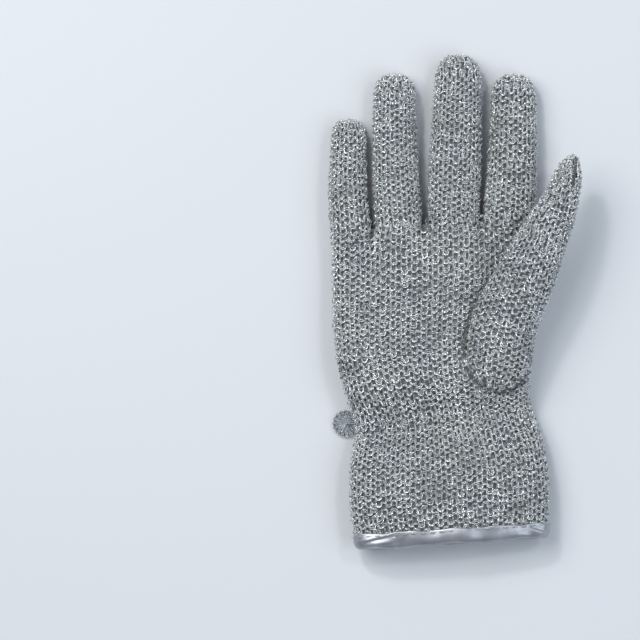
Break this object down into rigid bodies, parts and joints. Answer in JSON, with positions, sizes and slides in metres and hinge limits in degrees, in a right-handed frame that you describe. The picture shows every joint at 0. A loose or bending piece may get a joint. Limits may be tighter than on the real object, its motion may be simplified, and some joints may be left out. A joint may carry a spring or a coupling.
{
  "type": "cut-resistant metal-yarn knit glove",
  "caption": "Right-hand cut-resistant glove knitted from metal yarn, with a flocked liner, a gathered wrist, a long cuff and a taped hem.",
  "frame": {"origin": "centre of the flat patch on the back of the hand that the glove lies on", "axes": "+Y from the wrist to the fingertips, +Z out of the palm, +X towards the thumb"},
  "size_m": [0.1389, 0.272, 0.0398],
  "materials": {
    "metal_yarn_knit": "silvery metal-and-polymer yarn, open knit",
    "flocked_liner": "matt white flock",
    "silver_tape": "silver coated satin tape",
    "elastic_band": "white braided elastic",
    "sewing_thread": "pale grey thread",
    "clear_button": "clear faceted acrylic"
  },
  "bodies": {
    "palm": {"palm_panel": "metal_yarn_knit", "back_panel": "metal_yarn_knit", "palm_liner": "flocked_liner", "thumb_root": "metal_yarn_knit", "thumb_seam": "sewing_thread", "thumb_base_knuckle": "metal_yarn_knit", "thumb_liner": "flocked_liner", "wrist_gather": "metal_yarn_knit", "wrist_liner": "flocked_liner", "wrist_elastic": "elastic_band", "button": "clear_button", "button_thread": "sewing_thread", "little_base_knuckle": "metal_yarn_knit", "little_liner": "flocked_liner", "ring_base_knuckle": "metal_yarn_knit", "ring_liner": "flocked_liner", "middle_base_knuckle": "metal_yarn_knit", "middle_liner": "flocked_liner", "index_base_knuckle": "metal_yarn_knit", "index_liner": "flocked_liner"},
    "cuff": {"cuff_front_panel": "metal_yarn_knit", "cuff_back_panel": "metal_yarn_knit", "cuff_liner": "flocked_liner", "hem_binding": "silver_tape", "hem_stitches": "sewing_thread"},
    "little_lower": {"little_lower_stall": "metal_yarn_knit", "little_middle_knuckle": "metal_yarn_knit"},
    "little_mid": {"little_middle_stall": "metal_yarn_knit", "little_tip_knuckle": "metal_yarn_knit"},
    "little_end": {"little_tip_stall": "metal_yarn_knit"},
    "ring_lower": {"ring_lower_stall": "metal_yarn_knit", "ring_middle_knuckle": "metal_yarn_knit"},
    "ring_mid": {"ring_middle_stall": "metal_yarn_knit", "ring_tip_knuckle": "metal_yarn_knit"},
    "ring_end": {"ring_tip_stall": "metal_yarn_knit"},
    "middle_lower": {"middle_lower_stall": "metal_yarn_knit", "middle_middle_knuckle": "metal_yarn_knit"},
    "middle_mid": {"middle_middle_stall": "metal_yarn_knit", "middle_tip_knuckle": "metal_yarn_knit"},
    "middle_end": {"middle_tip_stall": "metal_yarn_knit"},
    "index_lower": {"index_lower_stall": "metal_yarn_knit", "index_middle_knuckle": "metal_yarn_knit"},
    "index_mid": {"index_middle_stall": "metal_yarn_knit", "index_tip_knuckle": "metal_yarn_knit"},
    "index_end": {"index_tip_stall": "metal_yarn_knit"},
    "thumb_lower": {"thumb_lower_stall": "metal_yarn_knit", "thumb_middle_knuckle": "metal_yarn_knit"},
    "thumb_mid": {"thumb_middle_stall": "metal_yarn_knit", "thumb_tip_knuckle": "metal_yarn_knit"},
    "thumb_end": {"thumb_tip_stall": "metal_yarn_knit"}
  },
  "joints": [
    {"name": "little_base", "type": "hinge", "parent": "palm", "child": "little_lower", "pos_m": [-0.0483, 0.0511, 0.009], "axis": [1, 0, 0], "range_deg": [-10, 70], "deforming": ["little_base_knuckle", "little_liner"]},
    {"name": "little_middle", "type": "hinge", "parent": "little_lower", "child": "little_mid", "pos_m": [-0.0483, 0.07038, 0.0087], "axis": [1, 0, 0], "range_deg": [-5, 85], "deforming": ["little_middle_knuckle", "little_liner"]},
    {"name": "little_tip", "type": "hinge", "parent": "little_mid", "child": "little_end", "pos_m": [-0.0483, 0.08807, 0.0082], "axis": [1, 0, 0], "range_deg": [-5, 50], "deforming": ["little_tip_knuckle", "little_liner"]},
    {"name": "ring_base", "type": "hinge", "parent": "palm", "child": "ring_lower", "pos_m": [-0.0224, 0.05892, 0.0093], "axis": [1, 0, 0], "range_deg": [-10, 70], "deforming": ["ring_base_knuckle", "ring_liner"]},
    {"name": "ring_middle", "type": "hinge", "parent": "ring_lower", "child": "ring_mid", "pos_m": [-0.0224, 0.08412, 0.009], "axis": [1, 0, 0], "range_deg": [-5, 85], "deforming": ["ring_middle_knuckle", "ring_liner"]},
    {"name": "ring_tip", "type": "hinge", "parent": "ring_mid", "child": "ring_end", "pos_m": [-0.0224, 0.10725, 0.0085], "axis": [1, 0, 0], "range_deg": [-5, 50], "deforming": ["ring_tip_knuckle", "ring_liner"]},
    {"name": "middle_base", "type": "hinge", "parent": "palm", "child": "middle_lower", "pos_m": [0.011, 0.06198, 0.0095], "axis": [1, 0, 0], "range_deg": [-10, 70], "deforming": ["middle_base_knuckle", "middle_liner"]},
    {"name": "middle_middle", "type": "hinge", "parent": "middle_lower", "child": "middle_mid", "pos_m": [0.011, 0.08973, 0.0092], "axis": [1, 0, 0], "range_deg": [-5, 85], "deforming": ["middle_middle_knuckle", "middle_liner"]},
    {"name": "middle_tip", "type": "hinge", "parent": "middle_mid", "child": "middle_end", "pos_m": [0.011, 0.11521, 0.0087], "axis": [1, 0, 0], "range_deg": [-5, 50], "deforming": ["middle_tip_knuckle", "middle_liner"]},
    {"name": "index_base", "type": "hinge", "parent": "palm", "child": "index_lower", "pos_m": [0.042, 0.06222, 0.0093], "axis": [1, 0, 0], "range_deg": [-10, 65], "deforming": ["index_base_knuckle", "index_liner"]},
    {"name": "index_middle", "type": "hinge", "parent": "index_lower", "child": "index_mid", "pos_m": [0.042, 0.0862, 0.009], "axis": [1, 0, 0], "range_deg": [-5, 85], "deforming": ["index_middle_knuckle", "index_liner"]},
    {"name": "index_tip", "type": "hinge", "parent": "index_mid", "child": "index_end", "pos_m": [0.042, 0.10821, 0.0085], "axis": [1, 0, 0], "range_deg": [-5, 50], "deforming": ["index_tip_knuckle", "index_liner"]},
    {"name": "thumb_base", "type": "hinge", "parent": "palm", "child": "thumb_lower", "pos_m": [0.047, 0.01585, 0.027], "axis": [0, 0, -1], "range_deg": [-8, 30], "deforming": ["thumb_base_knuckle", "thumb_liner"]},
    {"name": "thumb_middle", "type": "hinge", "parent": "thumb_lower", "child": "thumb_mid", "pos_m": [0.05739, 0.03968, 0.0306], "axis": [-0.7334, 0.3197, -0.6], "range_deg": [-45, 5], "deforming": ["thumb_middle_knuckle", "thumb_liner"]},
    {"name": "thumb_tip", "type": "hinge", "parent": "thumb_mid", "child": "thumb_end", "pos_m": [0.06618, 0.05985, 0.0312], "axis": [-0.7334, 0.3197, -0.6], "range_deg": [-60, 10], "deforming": ["thumb_tip_knuckle", "thumb_liner"]},
    {"name": "wrist", "type": "hinge", "parent": "palm", "child": "cuff", "pos_m": [0.0037, -0.058, 0.009], "axis": [0.9908, 0.135, 0], "range_deg": [-40, 35], "deforming": ["wrist_gather", "wrist_liner"]}
  ],
  "couplings": [
    {"joint": "little_tip", "follows": "little_middle", "ratio": 0.55},
    {"joint": "ring_tip", "follows": "ring_middle", "ratio": 0.55},
    {"joint": "middle_tip", "follows": "middle_middle", "ratio": 0.55},
    {"joint": "index_tip", "follows": "index_middle", "ratio": 0.55}
  ]
}
